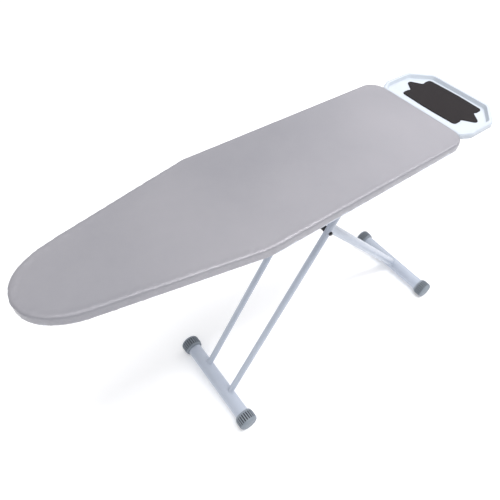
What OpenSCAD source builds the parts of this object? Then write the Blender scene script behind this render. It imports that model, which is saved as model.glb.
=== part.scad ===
// Ironing board on crossed T-legs, with an iron rest at its tail.
// Millimetres. The floor is z = 0, +Z is up, +X runs from the nose to the
// iron rest, and +Y is the far long side. The origin is on the floor, under
// the middle of the whole object. The board is drawn standing at its highest.

/* [Board] */
// Length of the ironing surface, nose to tail
board_l = 1100; // [1090:2:1110]
// Width of the ironing surface
board_w = 340; // [336:1:344]
// Height of the ironing surface above the floor
board_h = 880; // [878:1:884]
// Radius of the nose tip
nose_r = 82; // [78:1:86]
// Radius that blends the nose into the tapered sides
flank_r = 159; // [150:1:170]
// Angle of each tapered side to the long axis
taper = 11.8; // [11.5:0.1:12.1]
// Radius of the shoulder, where the taper meets the parallel sides
shoulder_r = 220; // [180:10:240]
// Radius of the two tail corners
tail_r = 50; // [40:1:60]

/* [Layers] */
// Thickness of the metallised cover
cover_t = 1; // [0.8:0.1:1.2]
// Thickness of the felt pad
pad_t = 7; // [6:0.5:8]
// Thickness of the expanded steel sheet under the pad
panel_t = 0.8; // [0.6:0.1:1]
// Height of the steel rim frame
frame_t = 14.7; // [14.5:0.1:14.9]
// Width of the rim frame's section
frame_w = 12; // [10:1:14]
// Width of the cover's hem where it turns under the frame
hem_w = 25; // [20:1:30]

/* [Legs] */
// Distance from the board's tail back to the front foot
front_foot_back = 688; // [684:1:692]
// Distance from the board's tail out to the rear foot
rear_foot_out = 220; // [216:1:224]
// Distance from the board's tail back to the bolt where the legs cross
cross_back = 354; // [352:1:356]
// Height of that bolt above the floor
cross_h = 650; // [648:1:652]
// Height of the leg hinges and of the top bar above the floor
hinge_h = 836; // [836:0.5:837]
// Diameter of the two thin front tubes
front_d = 20; // [19:0.5:21]
// Spacing of the two thin front tubes
front_gap = 128; // [128:1:130]
// Diameter of the single rear leg tube
rear_d = 32; // [30:1:32]
// Wall thickness of the leg and foot tubes
tube_wall = 1.2; // [1:0.1:1.5]

/* [Feet] */
// Diameter of the cross tubes that the legs stand on
foot_d = 48; // [46:1:50]
// Length of each foot, over its caps
foot_l = 380; // [370:2:390]
// Diameter of the plastic end caps
cap_d = 64; // [62:1:66]
// Length of each end cap
cap_l = 42; // [40:1:46]
// Number of grip slots round each end cap
cap_slots = 24; // [20:2:28]
// Depth of the flat that each cap stands on
cap_flat = 1; // [0.8:0.1:1.2]

/* [Iron rest] */
// Length of the tray along the board
tray_l = 202; // [198:1:206]
// Width of the tray across the board
tray_w = 316; // [310:2:320]
// Gap between the board's tail and the tray
tray_gap = 5; // [4:0.5:7]
// Depth of the tray's rim below the ironing surface
tray_drop = 8; // [7:0.5:9]
// Height of the tray's outer wall
tray_h = 17; // [17:0.5:17.5]
// Depth of the tray's floor below its rim
tray_deep = 11; // [10:0.5:11.5]
// Thickness of the black mat
mat_t = 3; // [2:0.5:4]

/* [Hidden] */
$fn = 64;

// Places along the board
over_l = board_l + rear_foot_out + cap_d / 2;
nose_x = -over_l / 2;
tail_x = nose_x + board_l;
front_x = tail_x - front_foot_back;
rear_x = tail_x + rear_foot_out;
cross_x = tail_x - cross_back;
foot_z = cap_d / 2 - cap_flat;

// Leg angles from the floor, and where the leg lines meet hinge height
front_a = atan2(cross_h - foot_z, cross_x - front_x);
rear_a = atan2(cross_h - foot_z, rear_x - cross_x);
front_top = (hinge_h - cross_h) / sin(front_a);
rear_top = (hinge_h - cross_h) / sin(rear_a);
hinge_x = cross_x + front_top * cos(front_a);
bar_x = cross_x - rear_top * cos(rear_a);
folded_bar_x = hinge_x - front_top - rear_top;
front_leg_l = (cross_h - foot_z) / sin(front_a) + front_top;
rear_leg_l = (cross_h - foot_z) / sin(rear_a) + rear_top;
tube_y = front_gap / 2;

// Heights of the layers
pad_z = board_h - cover_t - pad_t;
panel_z = pad_z - panel_t;
frame_z = panel_z - frame_t;
skirt_z = frame_z - cover_t;
cross_bar_z = frame_z + 6.5;

// Pins, rods and clearances
pin_r = 4;
bolt_out = 3.2;
bolt_cap_r = 6;
run_gap = 0.06;
bar_r = 5;
rivet_r = 2.2;
wall = 1.2;
plate_t = 2;
rod_r = 4;
lap = 0.3;
eps = 1;

// Height rack: two notched plates either side of the rear leg
rack_y = 40;
rack_x0 = -350;
rack_x1 = -56;
slot_top = hinge_h + bar_r + 1.5;
slot_low = hinge_h - bar_r - 8.5;
notches = 6;
notch_pitch = 34;

// Cross bars and rails
bar_w = 24;
tail_bar_x = tail_x - 34;
hinge_bar_x = hinge_x + 24;
middle_bar_x = -70;
front_bar_x = -332;
nose_bar_x = -510;
rail_w = 20;
bracket_rivet_x = [hinge_x - 12, hinge_x + 12];
rack_rivet_x = [middle_bar_x, front_bar_x];
rack_rivet_y = rack_y + 7.5;

// Release lever, which swings flat under the board's near side
lever_x = middle_bar_x;
lever_y = -110;
lever_z = 848;
lever_t = 3;
lever_r = 7;
grip_from = [lever_x - 75, lever_y - 14];
grip_to = [lever_x - 150, lever_y - 28];
finger_at = [lever_x - 13, lever_y + 62.5];

// Iron rest
tray_x0 = tail_x + tray_gap;
tray_x1 = tray_x0 + tray_l;
tray_top = board_h - tray_drop;
tray_z = tray_top - tray_h;
tray_floor = tray_top - tray_deep;
tray_skin = 2.5;
rim_w = 12;
rod_z = skirt_z - rod_r - 0.2;
screw_r = 2;
screw_x = [tray_x0 + 45, tray_x1 - 50];
screw_y = tube_y + rod_r + screw_r + 0.6;
mat_x = (tray_x0 + tray_x1) / 2 + 8;
mat_half = 67;

// ---- Outlines ----

function arc(centre, r, from, to, steps) =
  [for (i = [0:steps]) let (a = from + (to - from) * i / steps) centre + r * [cos(a), sin(a)]];

function flip_y(points) = [for (i = [len(points) - 1:-1:0]) [points[i][0], -points[i][1]]];

// Half of the board's outline, drawn with tangent arcs and moved in by `inset`.
function half_board(inset) =
  let (
    side = 90 + taper,
    flank_from = 130,
    tip = [nose_x + nose_r, 0],
    flank = tip + (nose_r - flank_r) * [cos(flank_from), sin(flank_from)],
    reach = flank * [cos(side), sin(side)] + flank_r,
    drop = board_w / 2 - shoulder_r,
    shoulder = [(cos(taper) * drop + shoulder_r - reach) / sin(taper), drop],
    corner = [tail_x - tail_r, board_w / 2 - tail_r]
  )
  concat(
    arc(tip, nose_r - inset, 176, flank_from, 8),
    arc(flank, flank_r - inset, flank_from - 4, side, 5),
    arc(shoulder, shoulder_r - inset, side, 90, 4),
    arc(corner, tail_r - inset, 90, 0, 10)
  );

function board_outline(inset) =
  concat([[nose_x + inset, 0]], half_board(inset), flip_y(half_board(inset)));

// A polygon moved in by `by`, edge by edge. Its points run anticlockwise.
function inset_points(points, by) =
  let (n = len(points))
  [for (i = [0:n - 1])
    let (
      before = points[i] - points[(i + n - 1) % n],
      after = points[(i + 1) % n] - points[i],
      m = [-before[1], before[0]] / norm(before),
      k = [-after[1], after[0]] / norm(after)
    )
    points[i] + by / (1 + m * k) * (m + k)];

// A convex polygon with each corner rounded to radius r.
function round_points(points, r, steps) =
  let (n = len(points), centres = inset_points(points, r))
  [for (i = [0:n - 1], j = [0:steps])
    let (
      before = points[i] - points[(i + n - 1) % n],
      after = points[(i + 1) % n] - points[i],
      from = atan2(-before[0], before[1]),
      turn = atan2(cross(before, after), before * after)
    )
    centres[i] + r * [cos(from + turn * j / steps), sin(from + turn * j / steps)]];

// The tray's eight corners, anticlockwise from the near front corner.
tray_corners = [
  [tray_x0 + 39, -tray_w / 2], [tray_x1 - 66, -tray_w / 2], [tray_x1, 56 - tray_w / 2],
  [tray_x1, tray_w / 2 - 56], [tray_x1 - 66, tray_w / 2], [tray_x0 + 39, tray_w / 2],
  [tray_x0, tray_w / 2 - 20], [tray_x0, 20 - tray_w / 2]
];

module tray_prism(inset, from_z, to_z) {
  translate([0, 0, from_z])
    linear_extrude(to_z - from_z)
      polygon(round_points(inset_points(tray_corners, inset), max(16 - inset, 5), 5));
}

module board_prism(inset, from_z, to_z) {
  translate([0, 0, from_z]) linear_extrude(to_z - from_z) polygon(board_outline(inset));
}

// ---- Shared shapes ----

// A round bar along +Y between two places.
module bar_y(r, from_y, to_y) {
  translate([0, from_y, 0]) rotate([-90, 0, 0]) cylinder(r = r, h = to_y - from_y);
}

// The same bar on one side of the board; side is -1 near and 1 far.
module side_bar(side, r, from_y, to_y) {
  bar_y(r, min(side * from_y, side * to_y), max(side * from_y, side * to_y));
}

module box_at(from, to) {
  translate(from) cube(to - from);
}

// A box on one side of the board.
module side_box(side, x, y, z) {
  box_at([x[0], min(side * y[0], side * y[1]), z[0]], [x[1], max(side * y[0], side * y[1]), z[1]]);
}

module hollow_tube(d, l) {
  difference() {
    cylinder(d = d, h = l);
    translate([0, 0, -eps]) cylinder(d = d - 2 * tube_wall, h = l + 2 * eps);
  }
}

// Stands its children along a leg, with z = 0 on the foot's axis.
module on_leg(foot_x, lean) {
  translate([foot_x, 0, foot_z]) rotate([0, lean, 0]) children();
}

// A domed rivet, from its head at z = 0 up through `grip` of metal.
module rivet(grip) {
  translate([0, 0, -1.4]) cylinder(r1 = 2.6, r2 = 4.2, h = 1.4);
  cylinder(r = rivet_r, h = grip);
}

// The holes that rivets go through, along the board at `places` and `y` out on both sides.
module rivet_holes(places, y) {
  for (side = [-1, 1], x = places)
    translate([x, side * y, frame_z - 2 * plate_t])
      cylinder(r = rivet_r + run_gap, h = board_h - frame_z);
}

// ---- Board top ----

module ironing_cover() {
  color([0.70, 0.70, 0.73])
    difference() {
      union() {
        board_prism(2, board_h - 1, board_h);
        board_prism(1, board_h - 2.5, board_h - 1);
        board_prism(0, skirt_z, board_h - 2.5);
      }
      board_prism(2.5, frame_z, board_h - cover_t);
      board_prism(cover_t, frame_z, board_h - 4);
      board_prism(cover_t + hem_w, skirt_z - eps, frame_z + eps);
    }
}

module felt_pad() {
  color([0.86, 0.85, 0.80]) {
    board_prism(2.5, pad_z, board_h - cover_t);
  }
}

module mesh_panel() {
  color([0.80, 0.81, 0.83]) board_prism(cover_t, panel_z, pad_z);
}

// A rolled steel channel, open upwards, that the mesh panel closes.
module rim_frame() {
  color([0.88, 0.89, 0.91])
    difference() {
      board_prism(cover_t, frame_z, panel_z);
      board_prism(cover_t + frame_w, frame_z - eps, panel_z + eps);
      difference() {
        board_prism(cover_t + wall, frame_z + wall, panel_z + eps);
        board_prism(cover_t + frame_w - wall, frame_z, panel_z + 2 * eps);
      }
    }
}

// A shallow channel right across the board, trimmed to the frame's inside.
module cross_bar(x) {
  color([0.86, 0.87, 0.89])
    intersection() {
      difference() {
        box_at([x - bar_w / 2, -board_w / 2, cross_bar_z], [x + bar_w / 2, board_w / 2, panel_z]);
        box_at([x - bar_w / 2 + wall, -board_w, cross_bar_z + wall],
               [x + bar_w / 2 - wall, board_w, panel_z + eps]);
        rivet_holes(rack_rivet_x, rack_rivet_y);
      }
      board_prism(cover_t + frame_w, cross_bar_z - eps, panel_z + eps);
    }
}

module leg_rail(side) {
  low = tube_y - rail_w / 2;
  high = tube_y + rail_w / 2;
  color([0.86, 0.87, 0.89])
    difference() {
      side_box(side, [rack_x0, tail_bar_x + bar_w / 2], [low, high], [frame_z, cross_bar_z]);
      side_box(side, [rack_x0 - eps, tail_bar_x + bar_w], [low + wall, high - wall],
               [frame_z + wall, cross_bar_z + eps]);
      rivet_holes(bracket_rivet_x, tube_y);
    }
}

// ---- Leg hinges ----

module hinge_bracket(side) {
  inner = front_d / 2 + 1;
  outer = inner + plate_t;
  reach = 14.5;
  color([0.83, 0.84, 0.86])
    difference() {
      union() {
        side_box(side, [hinge_x - reach, hinge_x + reach], [tube_y - outer, tube_y + outer],
                 [frame_z - plate_t, frame_z]);
        for (cheek = [tube_y - outer, tube_y + inner]) {
          side_box(side, [hinge_x - 10, hinge_x + 10], [cheek, cheek + plate_t],
                   [hinge_h, frame_z - plate_t]);
          translate([hinge_x, 0, hinge_h]) side_bar(side, 10, cheek, cheek + plate_t);
        }
      }
      translate([hinge_x, side * tube_y, hinge_h]) bar_y(pin_r, -outer - eps, outer + eps);
      rivet_holes(bracket_rivet_x, tube_y);
    }
}

module bracket_rivets() {
  color([0.75, 0.76, 0.78])
    for (side = [-1, 1], x = bracket_rivet_x)
      translate([x, side * tube_y, frame_z - plate_t]) rivet(plate_t + wall + 1);
}

module hinge_pins() {
  reach = front_d / 2 + 1 + plate_t;
  color([0.70, 0.71, 0.73])
    for (side = [-1, 1])
      translate([hinge_x, side * tube_y, hinge_h]) {
        bar_y(pin_r, -reach, reach);
        bar_y(7, reach, reach + 1.8);
        bar_y(7, -reach - 1.8, -reach);
      }
}

// ---- Height rack ----

module height_rack(side) {
  color([0.83, 0.84, 0.86])
    difference() {
      union() {
        side_box(side, [rack_x0, rack_x1], [rack_y, rack_y + plate_t], [slot_low - 4.5, cross_bar_z]);
        side_box(side, [rack_x0, rack_x1], [rack_y, rack_y + 13],
                 [cross_bar_z - plate_t, cross_bar_z]);
      }
      side_box(side, [folded_bar_x - bar_r - 2, bar_x + bar_r + 2], [rack_y - 1, rack_y + 3],
               [slot_low, slot_top]);
      for (i = [0:notches - 1])
        translate([bar_x - i * notch_pitch, 0, slot_top])
          side_bar(side, bar_r + 1, rack_y - 1, rack_y + plate_t + 1);
      rivet_holes(rack_rivet_x, rack_rivet_y);
    }
}

module rack_rivets() {
  color([0.75, 0.76, 0.78])
    for (side = [-1, 1], x = rack_rivet_x)
      translate([x, side * rack_rivet_y, cross_bar_z - plate_t]) rivet(plate_t + wall + 1);
}

// ---- Release lever ----

module lever_pin() {
  color([0.70, 0.71, 0.73])
    translate([lever_x, lever_y, 0]) {
      translate([0, 0, lever_z - 0.3]) cylinder(r = pin_r, h = cross_bar_z - lever_z + 0.3);
      translate([0, 0, lever_z - 2.8]) cylinder(r = 7, h = 2.5);
    }
}

// A close-wound torsion spring round the pin, one ring for each turn.
module lever_spring() {
  wire = 1.8;
  turns = 6;
  color([0.60, 0.61, 0.63])
    translate([lever_x, lever_y, lever_z + lever_t + 0.5])
      rotate_extrude()
        intersection() {
          translate([pin_r + 1, 0]) square([3 * wire, turns * wire]);
          union()
            for (i = [0:turns - 1])
              translate([pin_r + 2 + wire / 2, (i + 0.5) * wire * 0.96]) circle(d = wire, $fn = 24);
        }
}

// A flat arm of the lever with round ends.
module lever_arm(from, to, w) {
  along = to - from;
  translate([from[0], from[1], lever_z])
    rotate([0, 0, atan2(along[1], along[0])]) {
      translate([0, -w / 2, 0]) cube([norm(along), w, lever_t]);
      translate([norm(along), 0, 0]) cylinder(d = w, h = lever_t);
    }
}

module release_lever() {
  color([0.78, 0.79, 0.81])
    difference() {
      union() {
        lever_arm([lever_x, lever_y], finger_at, 10);
        lever_arm([lever_x, lever_y], grip_to, 12);
        translate([lever_x, lever_y, lever_z]) cylinder(r = lever_r + 2, h = lever_t);
        translate([finger_at[0], finger_at[1], hinge_h - 4])
          cylinder(r = 2.6, h = lever_z - hinge_h + 4 + lever_t / 2);
      }
      translate([lever_x, lever_y, lever_z - eps])
        cylinder(r = pin_r + run_gap, h = lever_t + 2 * eps);
    }
}

module lever_grip() {
  low = lever_z - 3.5;
  color([0.35, 0.38, 0.43])
    difference() {
      hull()
        for (at = [grip_from, grip_to])
          translate([at[0], at[1], low]) {
            cylinder(r = 9, h = 10, $fn = 32);
            translate([0, 0, 1.5]) cylinder(r = 10.5, h = 7, $fn = 32);
          }
      lever_arm([lever_x, lever_y], grip_to, 12);
    }
}

// ---- Iron rest ----

// The moulded shell: a rim, a basin with sloped walls, and a hollow underside.
module tray_shell(slope) {
  difference() {
    union() {
      tray_prism(1.5, tray_top - 1.5, tray_top);
      tray_prism(0, tray_z, tray_top - 1.5);
    }
    hull() {
      tray_prism(rim_w, tray_top - 0.1, tray_top + eps);
      tray_prism(rim_w + slope, tray_floor, tray_floor + 0.1);
    }
    tray_prism(tray_skin, tray_z - eps, tray_floor - tray_skin - 1);
  }
}

module iron_rest_tray() {
  slope = 4;
  notch = rod_r + 0.5;
  color([0.93, 0.94, 0.95])
    difference() {
      union() {
        tray_shell(slope);
        for (side = [-1, 1], x = screw_x)
          side_box(side, [x - 7, x + 7], [tube_y - 6, tube_y + 13],
                   [rod_z + rod_r, tray_floor - 2]);
      }
      for (side = [-1, 1]) {
        translate([tray_x0 - eps, side * tube_y, rod_z])
          rotate([0, 90, 0]) cylinder(r = notch, h = tray_skin + 2 * eps);
        for (x = screw_x)
          translate([x, side * screw_y, tray_z - eps])
            cylinder(r = screw_r + run_gap, h = tray_deep);
      }
    }
}

// Plaque outline: bowed sides, square lobes, and a round-tipped point at each end.
module mat_outline(inset) {
  lobe_y = 95;
  lobe_x = mat_half - 3;
  tip_y = 131;
  half_plaque = [
    [-mat_half, -1], [mat_half, -1], [mat_half, 20],
    [lobe_x, lobe_y], [-lobe_x, lobe_y], [-mat_half, 20]
  ];
  point = [[-60, 50], [60, 50], [0, tip_y]];
  for (turn = [0, 180])
    rotate([0, 0, turn]) {
      difference() {
        polygon(round_points(inset_points(half_plaque, inset), 10, 6));
        for (x = [-33, 33])
          translate([x, lobe_y + 4]) circle(r = 6.5 + inset, $fn = 40);
      }
      polygon(round_points(inset_points(point, inset), 10, 6));
    }
  square([2 * (mat_half - inset), 36], center = true);
}

module iron_rest_mat() {
  color([0.16, 0.15, 0.16])
    translate([mat_x, 0, tray_floor]) {
      linear_extrude(mat_t - 0.6) mat_outline(0);
      linear_extrude(mat_t) mat_outline(4);
    }
}

module tray_rod(side) {
  color([0.80, 0.81, 0.83])
    translate([hinge_x + 45, side * tube_y, rod_z])
      rotate([0, 90, 0]) {
        cylinder(r = rod_r, h = tray_x1 - 30 - hinge_x - 45);
        translate([0, 0, tray_x1 - 30 - hinge_x - 45]) sphere(r = rod_r);
      }
}

// Strap clips that hold the rods up against the rails.
module rod_clips() {
  color([0.75, 0.76, 0.78])
    for (side = [-1, 1], x = [hinge_x + 70, tail_bar_x - 30])
      translate([x, side * tube_y, 0])
        difference() {
          union() {
            translate([-6, 0, rod_z]) rotate([0, 90, 0]) cylinder(r = rod_r + 1.5, h = 12);
            box_at([-6, -9.5, frame_z - 1.5], [6, 9.5, frame_z]);
            box_at([-6, -rod_r - 1.5, rod_z], [6, rod_r + 1.5, frame_z - 1]);
          }
          translate([-7, 0, rod_z]) rotate([0, 90, 0]) cylinder(r = rod_r, h = 14);
          box_at([-7, -rod_r - 3, frame_z], [7, rod_r + 3, cross_bar_z]);
        }
}

// Screws up into the tray's bosses, whose washers hold the rods from below.
module tray_screws() {
  washer_z = rod_z - rod_r;
  color([0.72, 0.73, 0.75])
    for (side = [-1, 1], x = screw_x)
      translate([x, side * screw_y, washer_z]) {
        translate([0, 0, -3.3]) cylinder(r = 3.6, h = 2);
        translate([0, 0, -1.5]) cylinder(r = 5.5, h = 1.5);
        translate([0, 0, -0.5]) cylinder(r = screw_r, h = tray_floor - washer_z - 1);
      }
}

// ---- Front leg ----

module front_tube(side) {
  color([0.92, 0.93, 0.95])
    difference() {
      translate([0, side * tube_y, 0])
        on_leg(front_x, 90 - front_a) hollow_tube(front_d, front_leg_l + 10);
      translate([front_x, 0, foot_z]) bar_y(foot_d / 2, -foot_l, foot_l);
      for (at = [[cross_x, cross_h], [hinge_x, hinge_h]])
        translate([at[0], 0, at[1]]) bar_y(pin_r + run_gap, -board_w, board_w);
    }
}

module foot_tube(x) {
  color([0.92, 0.93, 0.95])
    translate([x, 0, foot_z])
      difference() {
        bar_y(foot_d / 2, 6 - foot_l / 2, foot_l / 2 - 6);
        bar_y(foot_d / 2 - tube_wall, -foot_l, foot_l);
      }
}

// A grooved barrel cap with a rounded end and a small flat to stand on.
module end_cap(x, side) {
  r = cap_d / 2;
  round_r = 11;
  slot_w = 2.8;
  slot_deep = 2.6;
  slot_end = 9;
  color([0.45, 0.49, 0.55])
    translate([x, side * foot_l / 2, foot_z])
      rotate([side * 90, 0, 0])
        difference() {
          rotate_extrude()
            polygon(concat(
              [[0, 0]],
              arc([r - round_r, round_r], round_r, -90, 0, 8),
              [[r, cap_l - 10], [r - 2.5, cap_l - 2], [r - 4, cap_l], [0, cap_l]]
            ));
          translate([0, 0, 6]) cylinder(d = foot_d + 2 * run_gap, h = cap_l);
          for (i = [0:cap_slots - 1])
            rotate([0, 0, (i + 0.5) * 360 / cap_slots])
              translate([r - slot_deep, -slot_w / 2, slot_end])
                cube([2 * slot_deep, slot_w, cap_l - 7 - slot_end]);
          translate([-r, -side * (foot_z + 10) - 10, -eps]) cube([2 * r, 20, cap_l + 2 * eps]);
        }
}

// Plastic plugs in the top ends of the thin tubes; the hinge pins run in them.
module tube_end_plugs() {
  plug_r = front_d / 2 - tube_wall;
  color([0.30, 0.32, 0.36])
    for (side = [-1, 1])
      difference() {
        translate([0, side * tube_y, 0])
          on_leg(front_x, 90 - front_a) {
            translate([0, 0, front_leg_l - 16]) cylinder(r = plug_r, h = 26);
            translate([0, 0, front_leg_l + 10]) cylinder(r1 = front_d / 2, r2 = front_d / 2 - 2, h = 2);
          }
        translate([hinge_x, 0, hinge_h]) bar_y(pin_r + run_gap, -board_w, board_w);
      }
}

module pivot_bolt() {
  reach = tube_y + front_d / 2;
  color([0.70, 0.71, 0.73])
    translate([cross_x, 0, cross_h]) bar_y(pin_r, -reach - bolt_out, reach + bolt_out);
}

module pivot_cap(side) {
  reach = tube_y + front_d / 2;
  color([0.08, 0.08, 0.09])
    translate([cross_x, side * reach, cross_h])
      rotate([-side * 90, 0, 0])
        difference() {
          union() {
            cylinder(r = bolt_cap_r, h = bolt_out);
            translate([0, 0, bolt_out]) cylinder(r1 = bolt_cap_r, r2 = bolt_cap_r - 2, h = 1.8);
          }
          translate([0, 0, -eps]) cylinder(r = pin_r, h = bolt_out + eps);
        }
}

module pivot_spacer(side) {
  from = rear_d / 2 + lap;
  to = tube_y - front_d / 2;
  color([0.08, 0.08, 0.09])
    translate([cross_x, 0, cross_h])
      rotate([-side * 90, 0, 0])
        difference() {
          union() {
            translate([0, 0, from]) cylinder(r = 8.5, h = to - from);
            translate([0, 0, from]) cylinder(r = 10.5, h = 4);
          }
          cylinder(r = pin_r + run_gap, h = to + eps);
        }
}

// ---- Rear leg ----

module rear_leg_tube() {
  color([0.92, 0.93, 0.95])
    difference() {
      on_leg(rear_x, rear_a - 90) hollow_tube(rear_d, rear_leg_l + 13);
      translate([rear_x, 0, foot_z]) bar_y(foot_d / 2, -foot_l, foot_l);
      translate([cross_x, 0, cross_h]) bar_y(7, -rear_d, rear_d);
      translate([bar_x, 0, hinge_h]) bar_y(bar_r, -rear_d, rear_d);
    }
}

module pivot_bush() {
  color([0.75, 0.76, 0.78])
    translate([cross_x, 0, cross_h])
      difference() {
        bar_y(7, -rear_d / 2, rear_d / 2);
        bar_y(pin_r + run_gap, -rear_d, rear_d);
      }
}

module top_bar() {
  color([0.75, 0.76, 0.78])
    translate([bar_x, 0, hinge_h]) bar_y(bar_r, -rack_y - 7, rack_y + 7);
}

// Plastic sleeves that keep the rear leg centred between the rack plates.
module top_bar_sleeves() {
  color([0.30, 0.32, 0.36])
    for (side = [-1, 1])
      translate([bar_x, 0, hinge_h])
        rotate([-side * 90, 0, 0])
          difference() {
            translate([0, 0, rear_d / 2 + lap]) cylinder(r = 8, h = rack_y - rear_d / 2 - 1);
            cylinder(r = bar_r, h = rack_y);
          }
}

module top_bar_caps() {
  color([0.30, 0.32, 0.36])
    for (side = [-1, 1])
      translate([bar_x, side * (rack_y + plate_t + 0.6), hinge_h])
        rotate([-side * 90, 0, 0])
          difference() {
            cylinder(r = 7, h = 5.4);
            translate([0, 0, -eps]) cylinder(r = bar_r, h = 4.4 + eps);
          }
}

// ---- Assembly ----

ironing_cover();
felt_pad();
mesh_panel();
rim_frame();
cross_bar(tail_bar_x);  // cross_bar_tail
cross_bar(hinge_bar_x);  // cross_bar_hinge
cross_bar(middle_bar_x);  // cross_bar_middle
cross_bar(front_bar_x);  // cross_bar_front
cross_bar(nose_bar_x);  // cross_bar_nose
leg_rail(-1);  // leg_rail_near
leg_rail(1);  // leg_rail_far
hinge_bracket(-1);  // hinge_bracket_near
hinge_bracket(1);  // hinge_bracket_far
bracket_rivets();
hinge_pins();
height_rack(-1);  // height_rack_near
height_rack(1);  // height_rack_far
rack_rivets();
lever_pin();
lever_spring();
iron_rest_tray();
iron_rest_mat();
tray_rod(-1);  // tray_rod_near
tray_rod(1);  // tray_rod_far
rod_clips();
tray_screws();
front_tube(-1);  // front_tube_near
front_tube(1);  // front_tube_far
foot_tube(front_x);  // front_foot_tube
end_cap(front_x, -1);  // front_cap_near
end_cap(front_x, 1);  // front_cap_far
tube_end_plugs();
pivot_bolt();
pivot_cap(-1);  // pivot_cap_near
pivot_cap(1);  // pivot_cap_far
pivot_spacer(-1);  // pivot_spacer_near
pivot_spacer(1);  // pivot_spacer_far
rear_leg_tube();
foot_tube(rear_x);  // rear_foot_tube
end_cap(rear_x, -1);  // rear_cap_near
end_cap(rear_x, 1);  // rear_cap_far
pivot_bush();
top_bar();
top_bar_sleeves();
top_bar_caps();
release_lever();
lever_grip();
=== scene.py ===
import math

import bmesh
import bpy
import numpy as np
from mathutils import Matrix, Vector, noise


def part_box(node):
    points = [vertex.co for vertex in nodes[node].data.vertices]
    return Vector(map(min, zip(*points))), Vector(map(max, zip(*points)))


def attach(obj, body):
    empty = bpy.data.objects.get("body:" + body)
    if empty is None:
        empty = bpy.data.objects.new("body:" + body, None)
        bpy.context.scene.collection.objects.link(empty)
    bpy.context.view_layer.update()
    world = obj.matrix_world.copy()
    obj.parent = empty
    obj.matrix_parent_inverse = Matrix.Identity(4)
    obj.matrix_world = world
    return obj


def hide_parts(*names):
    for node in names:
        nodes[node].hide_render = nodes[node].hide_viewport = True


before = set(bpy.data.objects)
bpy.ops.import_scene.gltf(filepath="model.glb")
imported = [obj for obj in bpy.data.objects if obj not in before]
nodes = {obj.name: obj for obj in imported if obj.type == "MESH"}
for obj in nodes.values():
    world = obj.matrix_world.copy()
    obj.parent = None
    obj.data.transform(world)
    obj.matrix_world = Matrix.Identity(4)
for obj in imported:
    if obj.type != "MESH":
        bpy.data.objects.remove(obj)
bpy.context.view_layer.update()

# ---- Studio ----
# A white paper sweep under a pale sky, lit by a soft roof light, a long strip
# light along the tail's near edge and a weak warm light past the tail.

scene = bpy.context.scene
scene.view_settings.view_transform = "Standard"


def place_in_scene(name, data):
    """A new object that holds this data."""
    made = bpy.data.objects.new(name, data)
    scene.collection.objects.link(made)
    return made


camera_at = (-0.6331, -0.6049, 1.5799)
camera_heading = -0.7319
camera_dip = 0.8433
camera_roll = 0.0913
camera = place_in_scene("camera", bpy.data.cameras.new("camera"))
scene.camera = camera
camera.data.sensor_width = 36
camera.data.lens = 33.47
camera.data.shift_x = -0.0362
camera.data.shift_y = -0.0241
camera.matrix_world = (
    Matrix.Translation(camera_at)
    @ Matrix.Rotation(camera_heading, 4, "Z")
    @ Matrix.Rotation(math.pi / 2 - camera_dip, 4, "X")
    @ Matrix.Rotation(camera_roll, 4, "Z")
)


class Strand:
    """A socket in a material's nodes. Arithmetic on strands adds Math nodes."""

    def __init__(self, tree, socket=None):
        self.tree, self.socket = tree, socket

    def node(self, kind, settings=None, inputs=None, out=0):
        """Adds a node: its settings first, then the values or links of its sockets."""
        made = self.tree.nodes.new("ShaderNode" + kind)
        for name, value in (settings or {}).items():
            setattr(made, name, value)
        for name, value in (inputs or {}).items():
            if isinstance(value, Strand):
                self.tree.links.new(value.socket, made.inputs[name])
            else:
                made.inputs[name].default_value = value
        return Strand(self.tree, made.outputs[out])

    def math(self, operation, *values):
        return self.node("Math", {"operation": operation}, dict(enumerate(values)))

    def __add__(self, other):
        return self.math("ADD", self, other)

    def __radd__(self, other):
        return self.math("ADD", other, self)

    def __sub__(self, other):
        return self.math("SUBTRACT", self, other)

    def __rsub__(self, other):
        return self.math("SUBTRACT", other, self)

    def __mul__(self, other):
        return self.math("MULTIPLY", self, other)

    def __rmul__(self, other):
        return self.math("MULTIPLY", other, self)

    def axes(self):
        """The x, y and z of a vector."""
        parts = self.node("SeparateXYZ", None, {"Vector": self}).socket.node
        return [Strand(self.tree, socket) for socket in parts.outputs]

    def noise(self, where, scale, detail=3.0, roughness=0.5):
        return self.node(
            "TexNoise", None,
            {"Vector": where, "Scale": scale, "Detail": detail, "Roughness": roughness},
        )

    def blend(self, share, low, high):
        """The colour that goes from low to high as share goes from 0 to 1."""
        return self.node("Mix", {"data_type": "RGBA"}, {0: share, 6: low, 7: high}, out=2)

    def band(self, value, low, high):
        """0 below low and 1 above high, with a smooth step between."""
        return self.node(
            "MapRange", {"interpolation_type": "SMOOTHSTEP"},
            {"Value": value, "From Min": low, "From Max": high},
        )

    def relief(self, height, depth, below=None):
        """Bumps of that depth in metres, on top of the bumps below."""
        inputs = {"Height": height, "Distance": depth, "Strength": 1.0}
        if below is not None:
            inputs["Normal"] = below
        return self.node("Bump", None, inputs)


def finish_of(name, colour, roughness, normal=None, metallic=0.0, **uniform):
    """A Principled material. colour, roughness and normal are made by functions of its nodes."""
    material = bpy.data.materials.new(name)
    material.use_nodes = True
    tree = material.node_tree
    shader = tree.nodes["Principled BSDF"]
    start = Strand(tree)
    where = start.node("TexCoord", out="Object")
    for socket, value in (
        ("Base Color", colour), ("Roughness", roughness),
        ("Normal", normal), ("Metallic", metallic),
    ):
        if callable(value):
            tree.links.new(value(start, where).socket, shader.inputs[socket])
        elif value is not None:
            shader.inputs[socket].default_value = value
    for socket, value in uniform.items():
        shader.inputs[socket.replace("_", " ")].default_value = value
    return material


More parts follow.
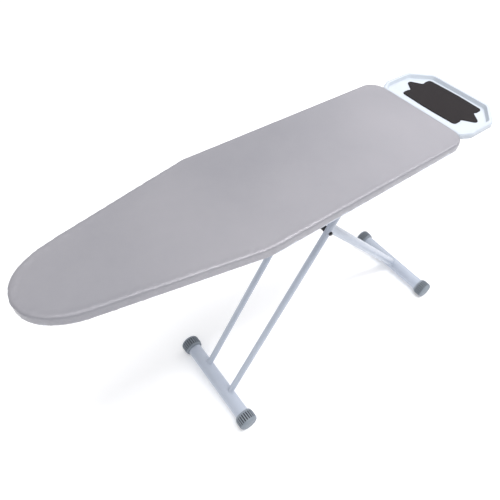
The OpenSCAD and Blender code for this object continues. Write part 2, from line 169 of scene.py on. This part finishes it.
def paint(obj, material):
    obj.data.materials.clear()
    obj.data.materials.append(material)
    obj.data.polygons.foreach_set("material_index", [0] * len(obj.data.polygons))


def soft_light(name, place, aim, size, watts, colour):
    lamp = bpy.data.lights.new(name, "AREA")
    lamp.shape, lamp.size, lamp.size_y = "RECTANGLE", size[0], size[1]
    lamp.energy, lamp.color = watts, colour
    light = place_in_scene(name, lamp)
    turn = (Vector(aim) - Vector(place)).to_track_quat("-Z", "Y")
    light.matrix_world = Matrix.Translation(place) @ turn.to_matrix().to_4x4()


sweep_r = 9.0
sweep_drop = 0.0004
sweep = place_in_scene("sweep", bpy.data.meshes.new("sweep"))
shape = bmesh.new()
bmesh.ops.create_circle(shape, cap_ends=True, segments=64, radius=sweep_r)
bmesh.ops.translate(shape, verts=shape.verts, vec=(0, 0, -sweep_drop))
shape.to_mesh(sweep.data)
shape.free()
sweep_finish = finish_of(
    "sweep_paper",
    lambda s, w: s.blend(s.noise(w, 3.0), (0.90, 0.90, 0.91, 1), (0.93, 0.93, 0.94, 1)),
    lambda s, w: 0.75 + 0.1 * s.noise(w, 40.0),
    Emission_Color=(1, 1, 1, 1), Emission_Strength=0.25,
)
paint(sweep, sweep_finish)

scene.world = bpy.data.worlds.new("studio")
scene.world.use_nodes = True
sky = Strand(scene.world.node_tree)
horizon_grey = (0.56, 0.58, 0.62, 1)
zenith_white = (1, 1, 1, 1)
backdrop = sky.tree.nodes["Background"]
upward = sky.node("TexCoord", out="Generated").axes()[2]
sky_colour = sky.blend(sky.band(upward, 0.0, 0.9), horizon_grey, zenith_white)
sky.tree.links.new(sky_colour.socket, backdrop.inputs["Color"])
backdrop.inputs["Strength"].default_value = 0.80
board_h = 0.88
soft_light("roof_light", (-0.3, -0.9, 6.4), (0, 0, 0), (1.5, 1.5), 98, (1.0, 0.99, 0.98))
soft_light("strip_light", (1.5, -0.95, 3.1), (1.5, 0, board_h), (2.6, 0.25), 40, (1.0, 1.0, 1.0))
soft_light("end_light", (2.9, 1.2, 2.7), (0.1, 0, board_h), (1.8, 1.8), 14, (1.0, 0.95, 0.97))


# ---- Rim frame, cross bars and leg rails ----
# Rolled steel channel bent to the board's outline, with five shallow channels
# across it and two rails along it. Spot welded, then powder coated together.

coated_steel = finish_of(
    "powder_coat",
    lambda s, w: s.blend(
        s.noise(w, 14.0, 4.0),
        (0.560, 0.600, 0.680, 1), (0.640, 0.675, 0.750, 1),
    ),
    lambda s, w: 0.30 + 0.12 * s.noise(w, 60.0),
    lambda s, w: s.relief(
        s.noise(w, 900.0, 2.0), 0.00006, s.relief(s.noise(w, 160.0, 1.0), 0.00010)
    ),
    Specular_IOR_Level=0.5, Coat_Weight=0.25, Coat_Roughness=0.18,
)
for name in (
    "rim_frame", "cross_bar_tail", "cross_bar_hinge", "cross_bar_middle",
    "cross_bar_front", "cross_bar_nose", "leg_rail_near", "leg_rail_far",
):
    paint(nodes[name], coated_steel)


# ---- Expanded steel sheet ----
# One slit and stretched steel sheet, so that steam passes through it. It lies
# on the frame and the cross bars, and its cut edge follows the outline.

def from_cad(name):
    """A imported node's mesh with its loose triangles joined, and flat faces made whole."""
    solid = bmesh.new()
    solid.from_mesh(nodes[name].data)
    bmesh.ops.remove_doubles(solid, verts=solid.verts, dist=1e-6)
    bmesh.ops.dissolve_limit(
        solid, angle_limit=math.radians(0.5), verts=solid.verts, edges=solid.edges
    )
    return solid


def piece(name, solid, material, body, smooth_angle=35.0):
    """Makes a bmesh an object that rides on a CAD body."""
    made = place_in_scene(name, bpy.data.meshes.new(name))
    solid.to_mesh(made.data)
    solid.free()
    made.data.polygons.foreach_set("use_smooth", [True] * len(made.data.polygons))
    made.data.set_sharp_from_angle(angle=math.radians(smooth_angle))
    paint(made, material)
    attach(made, body)
    return made


def upright(face):
    return abs(face.normal.z) < 0.1


def cut(solid, place, outward, dist=1e-6, clear_outer=True):
    """Cuts a bmesh along a plane and, unless told not to, drops what is outside it."""
    bmesh.ops.bisect_plane(
        solid, geom=solid.verts[:] + solid.edges[:] + solid.faces[:],
        plane_co=place, plane_no=outward, dist=dist, clear_outer=clear_outer,
    )


outline = from_cad("mesh_panel")
rim_planes = [
    (f.calc_center_median(), f.normal.copy()) for f in outline.faces if upright(f)
]
outline.free()
panel_low, panel_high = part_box("mesh_panel")
panel_t = panel_high.z - panel_low.z
rim_points = np.array([p[:2] for p, n in rim_planes])
rim_normals = np.array([n[:2] for p, n in rim_planes])


def rim_gaps(places):
    """How far inside each side of the panel's outline each place is, in metres."""
    flat = np.asarray(places)[:, None, :2]
    return ((rim_points - flat) * rim_normals).sum(-1)


def depth_in(places):
    """How far inside the panel's outline each place is, in metres."""
    return rim_gaps(places).min(1)


diamond = (0.026, 0.011)
strand_w = 0.0012
spare_cells = 16
margin = (0.03, 0.02)
smallest_hole = 2e-5
lattice = bmesh.new()
across = int((panel_high.x - panel_low.x) / diamond[0]) + spare_cells
up = int((panel_high.y - panel_low.y) / diamond[1]) + spare_cells
count = across + up
bmesh.ops.create_grid(lattice, x_segments=count, y_segments=count, size=count / 2)
bmesh.ops.rotate(lattice, verts=lattice.verts, matrix=Matrix.Rotation(math.pi / 4, 3, "Z"))
half = math.sqrt(0.5)
bmesh.ops.scale(
    lattice, verts=lattice.verts, vec=(diamond[0] * half, diamond[1] * half, 1)
)
middle = (panel_low + panel_high) / 2
bmesh.ops.translate(lattice, verts=lattice.verts, vec=(middle.x, middle.y, panel_low.z))
far_away = [
    v for v in lattice.verts
    if not (panel_low.x - margin[0] < v.co.x < panel_high.x + margin[0]
            and panel_low.y - margin[1] < v.co.y < panel_high.y + margin[1])
]
bmesh.ops.delete(lattice, geom=far_away, context="VERTS")
for place, outward in rim_planes:
    cut(lattice, place, outward)
slivers = [f for f in lattice.faces if f.calc_area() < smallest_hole]
bmesh.ops.delete(lattice, geom=slivers, context="FACES")
holes = lattice.faces[:]
bmesh.ops.inset_individual(
    lattice, faces=holes, thickness=strand_w, depth=0, use_even_offset=True
)
bmesh.ops.delete(lattice, geom=holes, context="FACES")
bmesh.ops.translate(lattice, verts=lattice.verts, vec=(0, 0, panel_t))
zinc = finish_of(
    "zinc_plating",
    lambda s, w: s.blend(
        s.band(s.noise(w, 45.0, 5.0, 0.6), 0.35, 0.65),
        (0.50, 0.52, 0.55, 1), (0.66, 0.67, 0.69, 1),
    ),
    lambda s, w: 0.26 + 0.22 * s.noise(w, 120.0),
    lambda s, w: s.relief(s.noise(w, 700.0, 3.0), 0.00004),
    metallic=0.9,
)
mesh_sheet = piece("mesh_sheet", lattice, zinc, "board", 20)
thicken = mesh_sheet.modifiers.new("gauge", "SOLIDIFY")
thicken.thickness, thicken.offset = panel_t, -1.0
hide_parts("mesh_panel")


# ---- Felt pad ----
# Needled felt, 7 mm thick, cut to the outline and laid loose on the steel
# sheet. The cover's cord presses it, so its edge is rounded over.

felt_low, felt_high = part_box("felt_pad")
felt_grid = 0.022
first_rows = (0.020, 0.015)
felt_round = 0.0049
felt_shares = (0.9965, 0.988, 1)
felt_press = 0.0008
felt_waves = 0.0004
sharp_turn = 1.2


def level(edge):
    return abs(edge.verts[0].co.z - edge.verts[1].co.z) < 1e-6


def round_over(solid, edges, radius, segments):
    bmesh.ops.bevel(
        solid, geom=edges, offset=radius, offset_type="OFFSET", segments=segments,
        profile=0.5, affect="EDGES", clamp_overlap=True, material=-1,
    )


def draw_in(solid, shares):
    """Scales a bmesh about the middle of the panel."""
    bmesh.ops.scale(
        solid, verts=solid.verts, vec=shares,
        space=Matrix.Translation((-middle.x, -middle.y, 0)),
    )


batt = from_cad("felt_pad")
for axis, along in enumerate((Vector((1, 0, 0)), Vector((0, 1, 0)))):
    for at in np.arange(felt_low[axis] + first_rows[axis], felt_high[axis], felt_grid):
        cut(batt, along * float(at), along, 1e-5, False)
brim = [
    e for e in batt.edges
    if len(e.link_faces) == 2 and e.calc_face_angle(0) > sharp_turn and level(e)
]
round_over(batt, brim, felt_round, 4)
draw_in(batt, felt_shares)
for v in batt.verts:
    if v.co.z > felt_high.z - 0.002:
        v.co.z -= felt_press + felt_waves * abs(noise.noise(v.co * 32))
felt_finish = finish_of(
    "needled_felt",
    lambda s, w: s.blend(
        s.noise(w, 260.0, 6.0, 0.7), (0.56, 0.54, 0.50, 1), (0.80, 0.78, 0.73, 1)
    ),
    lambda s, w: 0.88 + 0.1 * s.noise(w, 90.0),
    lambda s, w: s.relief(
        s.noise(w, 1500.0, 4.0, 0.7), 0.0003, s.relief(s.noise(w, 220.0), 0.0005)
    ),
    Sheen_Weight=0.3,
)
felt = piece("felt_layer", batt, felt_finish, "board", 50)
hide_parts("felt_pad")


# ---- Ironing cover ----
# Cotton with a silver-grey metallised coating, one piece, stretched over the
# pad and gathered under the frame by a cord that runs in its hem.

cover_low, cover_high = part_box("ironing_cover")
cover_t = panel_low.x - cover_low.x
skirt_h = cover_high.z - cover_low.z
hem_w = 0.025
hem_reach = hem_w - cover_t
roll = 0.0042
weave_step = 0.0050
top_skin = 0.0002
hem_skin = 0.0004


def apply_modifiers(obj):
    """Puts what the modifiers make into the object's own mesh."""
    seen = obj.evaluated_get(bpy.context.evaluated_depsgraph_get())
    mesh = bpy.data.meshes.new_from_object(seen)
    obj.modifiers.clear()
    obj.data = mesh


def set_heights(solid, top, bottom):
    """Moves the panel's upper points to one height and its lower points to another."""
    for v in solid.verts:
        v.co.z = top if v.co.z > middle.z else bottom


blank = from_cad("mesh_panel")
for v in blank.verts:
    outward = sum((f.normal for f in v.link_faces if upright(f)), Vector())
    v.co += outward.normalized() * (cover_t - top_skin)
set_heights(blank, cover_high.z - top_skin, cover_low.z + hem_skin)
lip = [
    e for e in blank.edges
    if all(v.co.z > panel_high.z for v in e.verts) and any(upright(f) for f in e.link_faces)
]
round_over(blank, lip, roll, 4)
form = place_in_scene("form", bpy.data.meshes.new("form"))
blank.to_mesh(form.data)
blank.free()
cloth = place_in_scene("cover", form.data.copy())
grid = cloth.modifiers.new("grid", "REMESH")
grid.mode, grid.voxel_size = "VOXEL", weave_step
hug = cloth.modifiers.new("hug", "SHRINKWRAP")
hug.target, hug.wrap_method = form, "NEAREST_SURFACEPOINT"
bpy.context.view_layer.update()
apply_modifiers(cloth)
bpy.data.objects.remove(form)

trim = bmesh.new()
trim.from_mesh(cloth.data)
under = cover_low.z + 0.004
centres = np.array([f.calc_center_median() for f in trim.faces])
inside = depth_in(centres) > hem_reach
bmesh.ops.delete(
    trim, context="FACES",
    geom=[f for f, c, deep in zip(trim.faces, centres, inside) if deep and c[2] < under],
)
for _ in range(2):
    edge_verts = [v for v in trim.verts if v.is_boundary]
    gaps = rim_gaps([v.co for v in edge_verts])
    for v, d, nearest in zip(edge_verts, gaps.min(1), rim_normals[gaps.argmin(1)]):
        v.co.x += nearest[0] * (d - hem_reach)
        v.co.y += nearest[1] * (d - hem_reach)
trim.to_mesh(cloth.data)
trim.free()

rest = np.array([v.co for v in cloth.data.vertices])
facing = np.array([v.normal for v in cloth.data.vertices])
deep = depth_in(rest)
on_top = rest[:, 2] > cover_high.z - 0.003
below = rest[:, 2] < cover_low.z + 0.003
hem_fade = 0.006
top_start, top_fade = 0.003, 0.010
cloth_steps = 20
longest_slide = 0.002
lowest_rise, highest_rise = -0.0002, 0.0012
held = cloth.vertex_groups.new(name="held")
loose = cloth.vertex_groups.new(name="loose")
for i in range(len(rest)):
    if below[i]:
        hold = min(1.0, deep[i] / hem_fade)
    elif on_top[i]:
        hold = min(1.0, max(0.0, (deep[i] - top_start) / top_fade))
    else:
        hold = 0.0
    held.add([i], hold, "REPLACE")
    wander = 0.5 + 0.5 * noise.noise(Vector(rest[i]) * 7.0)
    slack = 0.0 if on_top[i] and deep[i] > top_fade else 0.35 + 0.65 * wander
    loose.add([i], slack, "REPLACE")
core = place_in_scene("core", bpy.data.meshes.new("core"))
block = from_cad("mesh_panel")
core_gap = 0.0016
set_heights(block, cover_high.z - core_gap, cover_low.z + core_gap)
draw_in(block, (0.9985, 0.9955, 1))
block.to_mesh(core.data)
block.free()
core.modifiers.new("stop", "COLLISION")
core.collision.thickness_outer = 0.0006
sewn = cloth.modifiers.new("cloth", "CLOTH")
sewn.settings.quality = 6
sewn.settings.mass = 0.25
sewn.settings.tension_stiffness = 25
sewn.settings.compression_stiffness = 25
sewn.settings.shear_stiffness = 12
sewn.settings.bending_stiffness = 0.35
sewn.settings.vertex_group_mass = "held"
sewn.settings.use_pressure = True
sewn.settings.uniform_pressure_force = 1.2
sewn.settings.vertex_group_shrink = "loose"
sewn.settings.shrink_min = 0.0
sewn.settings.shrink_max = -0.035
sewn.settings.effector_weights.gravity = 0
sewn.collision_settings.distance_min = 0.0008
sewn.collision_settings.use_self_collision = False
for step in range(cloth_steps):
    scene.frame_set(step + 1)
apply_modifiers(cloth)
bpy.data.objects.remove(core)
now = np.array([v.co for v in cloth.data.vertices])
moved = now - rest
rise = (moved * facing).sum(1)
slide = moved - facing * rise[:, None]
slid = np.linalg.norm(slide, axis=1)
slide *= np.minimum(1.0, longest_slide / np.maximum(slid, 1e-9))[:, None]
rest = rest + slide + facing * np.clip(rise, lowest_rise, highest_rise)[:, None]
scene.frame_set(1)

# The quilting and fine ripples of the top, the gathers of the hem and the
# puckers of the skirt, which deepen towards the cord, are finer than the mesh
# that the simulation moves, so they are added after it.
quilt_h = 0.00028
ripple_h = 0.00010
gather_h = 0.0009
pucker_top_h, pucker_low_h = 0.0004, 0.0012
for v, place, out, d, low in zip(cloth.data.vertices, rest, facing, deep, below):
    x, y, z = place
    quilt = noise.noise(Vector((x * 9, y * 9, 3.1))) * quilt_h
    ripple = noise.noise(Vector((x * 32, y * 32, 9.7))) * ripple_h
    pleat = noise.noise(Vector((x * 85 + z * 45, y * 85 + z * 45, z * 10)))
    if low:
        gather = math.sin((x * 1.1 + y * 2.3) * 210 + 3 * pleat)
        push = gather * gather_h * min(1.0, max(0.0, d - 0.004) / 0.016)
    elif d > 0.006:
        push = quilt + ripple
    else:
        push = pleat * (pucker_top_h + pucker_low_h * (cover_high.z - z) / skirt_h)
    v.co = Vector(place) + Vector(out) * push
smooth = cloth.modifiers.new("smooth", "SUBSURF")
smooth.levels = smooth.render_levels = 1
cloth.data.polygons.foreach_set("use_smooth", [True] * len(cloth.data.polygons))


def weave(s, w):
    """Plain weave, 0.9 mm a thread, on the top and down the skirt alike."""
    pitch = 2 * math.pi / 0.0009
    x, y, z = w.axes()
    up_share = s.node("NewGeometry", out="Normal").axes()[2]
    flat = s.band(s.math("ABSOLUTE", up_share), 0.6, 0.8)
    warp = flat * x + (1 - flat) * (x + y)
    weft = flat * y + (1 - flat) * z
    return s.math("SINE", warp * pitch) * s.math("SINE", weft * pitch)


cover_finish = finish_of(
    "metallised_cotton",
    lambda s, w: s.blend(
        s.band(s.noise(w, 2.2, 2.0), 0.35, 0.65) * 0.6 + 0.4 * s.noise(w, 30.0, 5.0, 0.6),
        (0.318, 0.315, 0.348, 1), (0.385, 0.376, 0.407, 1),
    ),
    lambda s, w: 0.26 + 0.12 * s.noise(w, 25.0, 4.0),
    lambda s, w: s.relief(
        weave(s, w), 0.00005, s.relief(s.noise(w, 240.0, 4.0), 0.00016)
    ),
    metallic=0.30, Sheen_Weight=0.10, Sheen_Roughness=0.4,
)
paint(cloth, cover_finish)
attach(cloth, "board")
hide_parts("ironing_cover")

# The hem's casing is a thin tube of the same cloth all the way round. The
# draw cord runs inside it, and no end of the cord shows.
casing_r = 0.0010


def ring_round(name, places, radius, material, body):
    """A round bead along a closed line of points, made a mesh."""
    line = bpy.data.curves.new(name, "CURVE")
    line.dimensions = "3D"
    line.bevel_depth, line.bevel_resolution = radius, 2
    strip = line.splines.new("POLY")
    strip.points.add(len(places) - 1)
    for point, place in zip(strip.points, places):
        point.co = (*place, 1)
    strip.use_cyclic_u = True
    guide = place_in_scene(name + "_line", line)
    bpy.context.view_layer.update()
    mesh = bpy.data.meshes.new_from_object(
        guide.evaluated_get(bpy.context.evaluated_depsgraph_get())
    )
    bpy.data.objects.remove(guide)
    solid = bmesh.new()
    solid.from_mesh(mesh)
    bmesh.ops.remove_doubles(solid, verts=solid.verts, dist=1e-7)
    bmesh.ops.recalc_face_normals(solid, faces=solid.faces)
    return piece(name, solid, material, body, 60)


hem_ring = bmesh.new()
hem_ring.from_mesh(cloth.data)
around = [e for e in hem_ring.edges if e.is_boundary]
path, edge, spot = [], around[0], around[0].verts[0]
for _ in around:
    path.append(spot.co.copy())
    spot = edge.other_vert(spot)
    edge = next((e for e in spot.link_edges if e.is_boundary and e is not edge), edge)
hem_ring.free()
path = np.array(path)
for _ in range(4):
    path = (np.roll(path, 1, 0) + 2 * path + np.roll(path, -1, 0)) / 4
casing = ring_round(
    "hem_casing", path[::2] + np.array([0, 0, casing_r]), casing_r,
    cover_finish, "board",
)


# ---- Hinge brackets, height racks, rivets and pins ----
# Folded and punched plate, zinc plated, riveted to the rails and cross bars.
# The two racks hold the top bar at each working height.

for name in (
    "hinge_bracket_near", "hinge_bracket_far", "bracket_rivets", "hinge_pins",
    "height_rack_near", "height_rack_far", "rack_rivets", "lever_pin",
):
    paint(nodes[name], zinc)


# ---- Release lever ----
# A flat steel arm on an upright pin, turned back by a coil spring, with a
# moulded grip for the hand.

spring_low, spring_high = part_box("lever_spring")
wire = 0.0018
turns = 6
wire_sides = 10
spring = bmesh.new()
hub = Vector(((spring_low.x + spring_high.x) / 2, (spring_low.y + spring_high.y) / 2, 0))
coil_r = (spring_high.x - spring_low.x) / 2 - 1.5 * wire
bmesh.ops.create_circle(
    spring, segments=wire_sides, radius=wire / 2,
    matrix=Matrix.Translation((hub.x + coil_r, hub.y, spring_low.z + wire / 2))
    @ Matrix.Rotation(math.pi / 2, 4, "X"),
)
steps = 24 * (turns - 1)
pitch = (spring_high.z - spring_low.z - wire) / steps
bmesh.ops.spin(
    spring, geom=spring.verts[:] + spring.edges[:], cent=hub, axis=(0, 0, 1),
    dvec=(0, 0, pitch), angle=2 * math.pi * (turns - 1), steps=steps, use_duplicate=False,
)
wire_ends = [e for e in spring.edges if e.is_boundary]
bmesh.ops.holes_fill(spring, edges=wire_ends, sides=wire_sides)
bmesh.ops.recalc_face_normals(spring, faces=spring.faces)
lever_coil = piece("lever_coil", spring, zinc, "board", 60)
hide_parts("lever_spring")

paint(nodes["release_lever"], zinc)
# Grey plastic. Where the vertex attribute marks the floors of the foot caps' grip slots, it
# turns near black: painted shade in the slots.
moulded_grey = finish_of(
    "moulded_grey_plastic",
    lambda s, w: s.blend(
        s.node("Attribute", {"attribute_name": "painted_slot_shade"}, out="Fac"),
        s.blend(
            s.noise(w, 55.0, 5.0, 0.65), (0.200, 0.235, 0.275, 1), (0.300, 0.335, 0.380, 1)
        ),
        (0.035, 0.042, 0.052, 1),
    ),
    lambda s, w: 0.40 + 0.20 * s.noise(w, 80.0),
    lambda s, w: s.relief(s.noise(w, 1100.0, 2.0), 0.00008),
)
paint(nodes["lever_grip"], moulded_grey)


# ---- Iron rest tray ----
# White plastic moulding, open underneath: a broad rolled rim round a sunken
# basin, with its four corners cut off. It lies on two steel rods.

tray_low, tray_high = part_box("iron_rest_tray")
tray_mid = (tray_low + tray_high) / 2
corner_r = 0.007
rim_w = 0.012
basin_depth = 0.011
wall_t = 0.0024
blank_half = 0.3
shortest_side = 0.03
shell = bmesh.new()
bmesh.ops.create_grid(shell, x_segments=1, y_segments=1, size=blank_half)
bmesh.ops.translate(shell, verts=shell.verts, vec=(tray_mid.x, tray_mid.y, tray_low.z))
moulding = from_cad("iron_rest_tray")
for f in moulding.faces:
    wide = max(e.calc_length() for e in f.edges) > shortest_side
    place = f.calc_center_median()
    if abs(f.normal.z) < 0.01 and wide and f.normal.dot(place - tray_mid) > 0:
        cut(shell, place, f.normal)
moulding.free()


def profile_walk(solid, face, moves):
    """Turns a flat face into a dish or a pad: each move goes in, then up, by those metres.
    Returns the edges that run from ring to ring at the corners."""
    if face.normal.z < 0:
        face.normal_flip()
    spokes = []
    for inward, rise in moves:
        bmesh.ops.inset_region(
            solid, faces=[face], thickness=inward, depth=0, use_even_offset=True,
            use_boundary=True,
        )
        ring = set(face.verts)
        spokes += [e for v in ring for e in v.link_edges if e.other_vert(v) not in ring]
        bmesh.ops.translate(solid, verts=face.verts[:], vec=(0, 0, rise))
    return spokes


tray_rise = tray_high.z - tray_low.z
corners = profile_walk(shell, next(iter(shell.faces)), [
    (0.0002, tray_rise - 0.0052), (0.0004, 0.0018), (0.0009, 0.0016), (0.0014, 0.0011),
    (0.0024, 0.0007), (rim_w - 0.0083, 0.0), (0.0020, -0.0007), (0.0010, -0.0019),
    (0.0024, 0.0044 - basin_depth), (0.0008, -0.0013), (0.0018, -0.0005), (0.004, 0.0),
])
round_over(shell, corners, corner_r, 6)
tray_finish = finish_of(
    "tray_plastic",
    lambda s, w: s.blend(
        s.noise(w, 22.0, 4.0), (0.54, 0.59, 0.66, 1), (0.61, 0.66, 0.72, 1)
    ),
    lambda s, w: 0.30 + 0.16 * s.noise(w, 70.0, 4.0),
    lambda s, w: s.relief(s.noise(w, 1300.0, 2.0), 0.00004),
    Specular_IOR_Level=0.5, Coat_Weight=0.15, Coat_Roughness=0.2,
)
tray = piece("rest_tray", shell, tray_finish, "board", 30)
gauge = tray.modifiers.new("wall", "SOLIDIFY")
gauge.thickness, gauge.offset = wall_t, -1.0
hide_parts("iron_rest_tray")


# ---- Iron rest mat ----
# Black rubber mat in the basin, plaque shaped, with a raised border, a thin
# groove inside it and a fine diamond grip moulded over its middle.

mat = from_cad("iron_rest_mat")
underside = min(mat.faces, key=lambda f: f.normal.z * f.calc_area())
bmesh.ops.delete(mat, geom=[f for f in mat.faces if f is not underside], context="FACES")
bmesh.ops.remove_doubles(mat, verts=mat.verts, dist=0.0003)
profile_walk(mat, next(iter(mat.faces)), [
    (0.00005, 0.0014), (0.0003, 0.0006), (0.0005, 0.0003), (0.0004, 0.0),
    (0.0002, -0.0008), (0.0004, 0.0), (0.0002, 0.0006), (0.0002, 0.0),
])


def diamonds(s, w):
    """A diamond grip of 3 mm pitch."""
    x, y, _ = w.axes()
    pitch = 2 * math.pi / 0.0030
    return s.math("SINE", (x + y) * pitch) * s.math("SINE", (x - y) * pitch)


mat_finish = finish_of(
    "mat_rubber",
    lambda s, w: s.blend(
        s.noise(w, 120.0, 5.0, 0.7) * 0.5 + 0.25 * diamonds(s, w) + 0.25,
        (0.010, 0.009, 0.010, 1), (0.032, 0.025, 0.027, 1),
    ),
    lambda s, w: 0.52 + 0.2 * s.noise(w, 200.0),
    lambda s, w: s.relief(diamonds(s, w), 0.00030, s.relief(s.noise(w, 900.0), 0.0001)),
    Specular_IOR_Level=0.2,
)
rubber_mat = piece("rubber_mat", mat, mat_finish, "board", 30)
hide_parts("iron_rest_mat")

for name in ("tray_rod_near", "tray_rod_far", "rod_clips", "tray_screws"):
    paint(nodes[name], zinc)


# ---- Leg tubes and foot tubes ----
# Welded steel tube: two thin front tubes on one foot, one wide rear tube on
# the other. Coated pale blue-grey after welding.

tube_coat = finish_of(
    "tube_powder_coat",
    lambda s, w: s.blend(
        s.noise(w, 18.0, 4.0), (0.440, 0.488, 0.580, 1), (0.525, 0.568, 0.655, 1)
    ),
    lambda s, w: 0.28 + 0.12 * s.noise(w, 60.0),
    lambda s, w: s.relief(
        s.noise(w, 900.0, 2.0), 0.00006, s.relief(s.noise(w, 160.0, 1.0), 0.00010)
    ),
    Specular_IOR_Level=0.5, Coat_Weight=0.3, Coat_Roughness=0.15,
)
for name in (
    "front_tube_near", "front_tube_far", "front_foot_tube", "rear_leg_tube", "rear_foot_tube",
):
    paint(nodes[name], tube_coat)


def middle_of(name):
    low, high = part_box(name)
    return (low + high) / 2


crossing = middle_of("pivot_bolt")
foot_low, foot_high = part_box("front_foot_tube")
foot_r = (foot_high.z - foot_low.z) / 2
bead_r = 0.0017
bead_points = 56
thin_tube_r = 0.010
wide_tube_r = 0.016


def weld(name, foot_name, y, tube_r, body):
    """The bead where a leg tube meets the top of its foot tube."""
    foot = middle_of(foot_name)
    lean = Vector((crossing.x - foot.x, 0, crossing.z - foot.z)).normalized()
    side = Vector((lean.z, 0, -lean.x))
    places = []
    for i in range(bead_points):
        turn = 2 * math.pi * i / bead_points
        off = tube_r * math.cos(turn)
        reach = math.sqrt(foot_r**2 - off**2)
        spot = foot + side * off + lean * reach
        places.append((spot.x, y + tube_r * math.sin(turn), spot.z))
    ring_round(name, places, bead_r, tube_coat, body)


front_y = middle_of("front_tube_far").y
weld("front_weld_near", "front_foot_tube", -front_y, thin_tube_r, "front_leg")
weld("front_weld_far", "front_foot_tube", front_y, thin_tube_r, "front_leg")
weld("rear_weld", "rear_foot_tube", 0.0, wide_tube_r, "rear_leg")


# ---- Foot caps ----
# Grey moulded end caps pushed over the foot tubes: a barrel with long grip
# slots, a rounded end with a raised ring, and a small flat to stand on.

cap_slots = 24
slot_turn = 360 / cap_slots
slot_half = 3
slot_start, slot_stop = 0.0090, 0.0350
slot_deep = 0.0032


def foot_cap(name, body):
    low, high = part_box(name)
    foot_z = middle_of("front_foot_tube").z
    side = 1 if high.y > 0 else -1
    r = (high.x - low.x) / 2
    length = high.y - low.y
    end_y = high.y if side > 0 else low.y
    centre = Vector(((low.x + high.x) / 2, 0, foot_z))
    cap = bmesh.new()
    # Marks the slot floors for painted shade.
    painted_slot_shade = cap.verts.layers.float.new("painted_slot_shade")
    profile = [
        (0.0, 0.0), (r * 0.40, 0.0), (r * 0.46, 0.0008), (r * 0.52, 0.0008), (r * 0.58, 0.0),
        (r - 0.0110, 0.0), (r - 0.0068, 0.0008), (r - 0.0032, 0.0032), (r - 0.0014, 0.0058),
        (r - 0.0003, 0.0090), (r, 0.0110), (r, 0.0215), (r, 0.0320), (r - 0.0009, 0.0350),
        (r - 0.0025, 0.0400), (r - 0.0040, length), (r - 0.0078, length),
    ]
    last = None
    for out, back in profile:
        v = cap.verts.new((centre.x, end_y - side * back, centre.z + out))
        if last is not None:
            cap.edges.new((last, v))
        last = v
    bmesh.ops.spin(
        cap, geom=cap.verts[:] + cap.edges[:], cent=centre, axis=(0, 1, 0),
        angle=2 * math.pi, steps=4 * cap_slots, use_merge=True, use_duplicate=False,
    )
    bmesh.ops.remove_doubles(cap, verts=cap.verts, dist=1e-6)
    bmesh.ops.recalc_face_normals(cap, faces=cap.faces)
    slots = []
    for f in cap.faces:
        off = f.calc_center_median() - centre
        back = side * (end_y - off.y)
        turn = math.degrees(math.atan2(off.x, off.z)) % slot_turn
        along = slot_start < back < slot_stop
        outside = math.hypot(off.x, off.z) > r * 0.9
        if along and outside and abs(turn - slot_turn / 2) < slot_half:
            slots.append(f)
    sunk = bmesh.ops.extrude_face_region(cap, geom=slots)
    floor_verts = [g for g in sunk["geom"] if isinstance(g, bmesh.types.BMVert)]
    bmesh.ops.delete(cap, geom=[f for f in slots if f.is_valid], context="FACES")
    # Sinks the slot floors and marks them, so that the grey plastic paints shade on them.
    for v in floor_verts:
        out = Vector((v.co.x - centre.x, 0, v.co.z - centre.z))
        v.co -= out.normalized() * slot_deep
        v[painted_slot_shade] = 1.0
    for v in cap.verts:
        v.co.z = max(v.co.z, low.z)
    bmesh.ops.recalc_face_normals(cap, faces=cap.faces)
    made = piece(name + "_moulding", cap, moulded_grey, body, 30)
    soften = made.modifiers.new("soften", "BEVEL")
    soften.width, soften.segments, soften.limit_method = 0.0005, 2, "ANGLE"
    soften.angle_limit = math.radians(40)
    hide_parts(name)


for name, body in (
    ("front_cap_near", "front_leg"), ("front_cap_far", "front_leg"),
    ("rear_cap_near", "rear_leg"), ("rear_cap_far", "rear_leg"),
):
    foot_cap(name, body)


# ---- Crossing bolt and the bar at the top of the rear leg ----
# One bolt through all three tubes, with black spacers and caps; a zinc plated
# bar whose ends run in the height racks on plastic sleeves.

moulded_black = finish_of(
    "moulded_black_plastic",
    lambda s, w: s.blend(
        s.noise(w, 90.0, 4.0), (0.010, 0.010, 0.012, 1), (0.026, 0.026, 0.030, 1)
    ),
    lambda s, w: 0.32 + 0.2 * s.noise(w, 110.0),
    lambda s, w: s.relief(s.noise(w, 1200.0, 2.0), 0.00006),
)
for name in ("pivot_bolt", "pivot_bush", "top_bar"):
    paint(nodes[name], zinc)
for name in ("pivot_cap_near", "pivot_cap_far", "pivot_spacer_near", "pivot_spacer_far"):
    paint(nodes[name], moulded_black)
for name in ("tube_end_plugs", "top_bar_sleeves", "top_bar_caps"):
    paint(nodes[name], moulded_grey)
